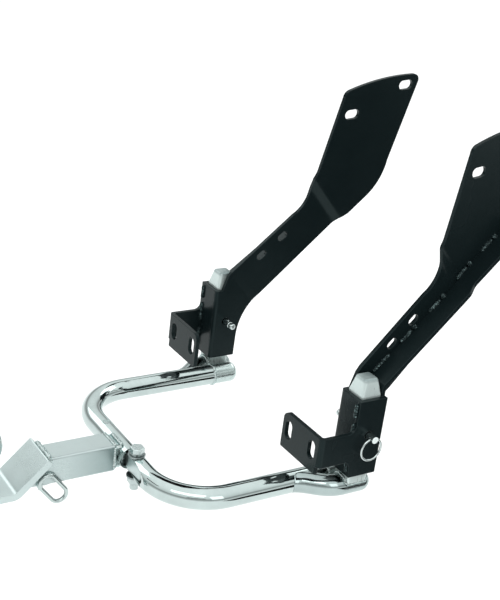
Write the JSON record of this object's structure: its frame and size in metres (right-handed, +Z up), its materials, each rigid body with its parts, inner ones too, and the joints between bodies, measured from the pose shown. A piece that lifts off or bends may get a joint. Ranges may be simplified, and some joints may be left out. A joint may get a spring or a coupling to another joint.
{
  "type": "detachable motorcycle trailer hitch",
  "caption": "Detachable rear hitch for a touring motorcycle: side arms with sockets, a chromed U bar that plugs into them, quick-release pins, a drawbar and a ball.",
  "frame": {"origin": "centre of the hitch ball", "axes": "+X to the vehicle's right, +Y forward along the drawbar, +Z up"},
  "size_m": [0.3632, 0.6193, 0.4368],
  "materials": {
    "black_coat": "semi-gloss powder coat",
    "bar_chrome": "bright plated",
    "zinc": "satin bright plating",
    "bolt_zinc": "zinc plated",
    "ball_chrome": "bright plated",
    "pin_steel": "bright plated",
    "ring_steel": "bright wire"
  },
  "bodies": {
    "hitch": {"left_arm_plate": "black_coat", "left_arm_strip": "black_coat", "left_socket_bracket": "black_coat", "left_socket_rear_wall": "black_coat", "left_arm_welds": "black_coat", "left_tube": "bar_chrome", "left_leg_plug": "bar_chrome", "left_foot": "bar_chrome", "left_upright": "zinc", "left_foot_weld": "zinc", "pivot_tongue": "zinc", "tongue_plug_weld": "zinc", "pivot_bolt": "bolt_zinc", "pivot_washer": "bolt_zinc", "pivot_lower_washer": "bolt_zinc", "pivot_spring_washer": "bolt_zinc", "pivot_nut": "bolt_zinc", "drawbar": "zinc", "drawbar_weld": "zinc", "ball_plate": "zinc", "plate_weld": "zinc", "hitch_ball": "ball_chrome", "ball_washer": "bolt_zinc", "ball_nut": "bolt_zinc", "left_chain_loop": "bar_chrome", "right_chain_loop": "bar_chrome"},
    "right_side": {"right_tube": "bar_chrome", "right_leg_plug": "bar_chrome", "right_foot": "bar_chrome", "right_upright": "zinc", "right_foot_weld": "zinc", "right_arm_plate": "black_coat", "right_arm_strip": "black_coat", "right_socket_bracket": "black_coat", "right_socket_rear_wall": "black_coat", "right_arm_welds": "black_coat"},
    "left_pin": {"left_pin": "pin_steel"},
    "left_ring": {"left_pin_ring": "ring_steel"},
    "left_detent": {"left_detent_ball": "pin_steel"},
    "right_pin": {"right_pin": "pin_steel"},
    "right_ring": {"right_pin_ring": "ring_steel"},
    "right_detent": {"right_detent_ball": "pin_steel"}
  },
  "joints": [
    {"name": "bar_pivot", "type": "hinge", "parent": "hitch", "child": "right_side", "pos_m": [0.0365, 0.164, -0.0375], "axis": [0, 0, 1], "range_deg": [0, 20]},
    {"name": "left_pin_slide", "type": "slide", "parent": "hitch", "child": "left_pin", "axis": [-1, 0, 0], "range_m": [0, 0.09]},
    {"name": "left_ring_swing", "type": "hinge", "parent": "left_pin", "child": "left_ring", "pos_m": [-0.177, 0.3685, 0.0314], "axis": [0, 1, 0], "range_deg": [-12, 100]},
    {"name": "left_detent_press", "type": "slide", "parent": "left_pin", "child": "left_detent", "axis": [0, 0, 1], "range_m": [-0.00045, 0], "stiffness_N_per_m": 2000},
    {"name": "right_pin_slide", "type": "slide", "parent": "right_side", "child": "right_pin", "axis": [1, 0, 0], "range_m": [0, 0.09]},
    {"name": "right_ring_swing", "type": "hinge", "parent": "right_pin", "child": "right_ring", "pos_m": [0.177, 0.3685, 0.0314], "axis": [0, -1, 0], "range_deg": [-12, 100]},
    {"name": "right_detent_press", "type": "slide", "parent": "right_pin", "child": "right_detent", "axis": [0, 0, 1], "range_m": [-0.00045, 0], "stiffness_N_per_m": 2000}
  ]
}
